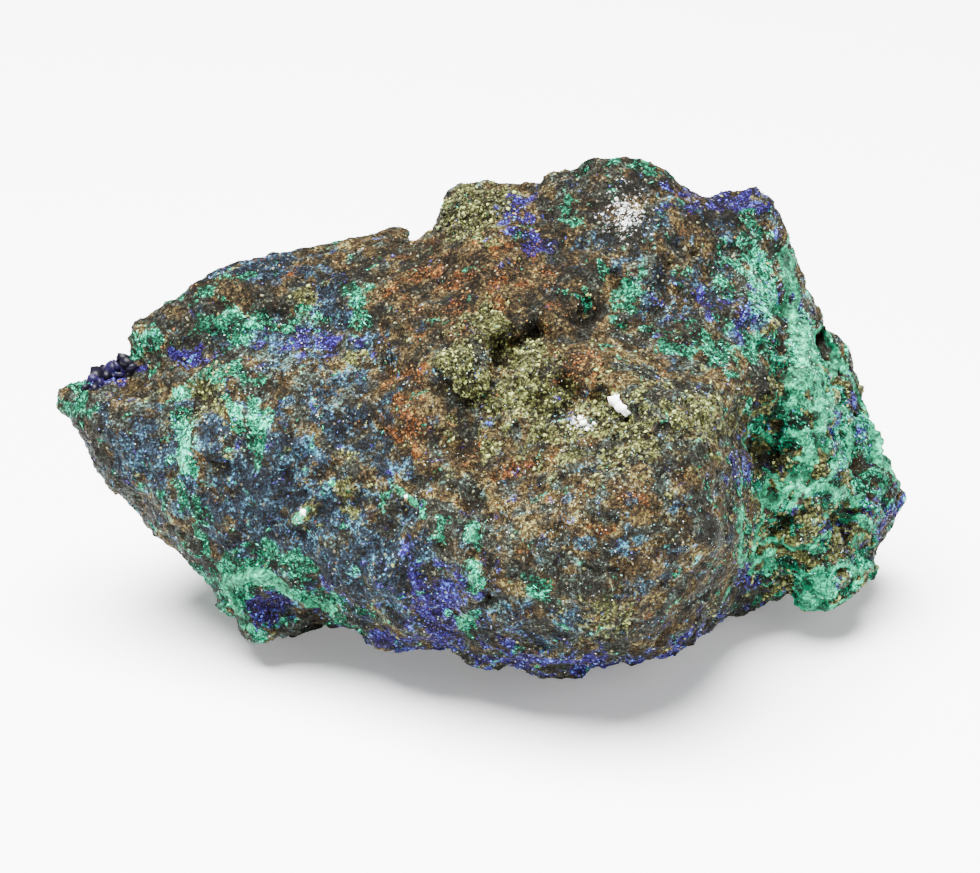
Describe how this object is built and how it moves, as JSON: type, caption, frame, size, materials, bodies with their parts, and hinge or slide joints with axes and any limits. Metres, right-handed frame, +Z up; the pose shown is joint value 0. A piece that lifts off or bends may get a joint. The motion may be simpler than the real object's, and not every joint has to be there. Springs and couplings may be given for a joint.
{
  "type": "azurite and malachite mineral specimen",
  "caption": "Rugged lump of copper ore with blue azurite and green malachite grown over rusty brown rock, lying on its flattened underside.",
  "frame": {"origin": "on the resting plane, under the middle of the stone's bounding box", "axes": "+X along the stone from its pointed nose to the broad pitted end, +Y away from the display side, +Z up from the resting plane"},
  "size_m": [0.0862, 0.051, 0.0478],
  "materials": {
    "ore": "rough mixed ore: brown limonite rock with crusts of green malachite and blue azurite"
  },
  "bodies": {
    "root": {"stone": "ore"}
  },
  "joints": []
}
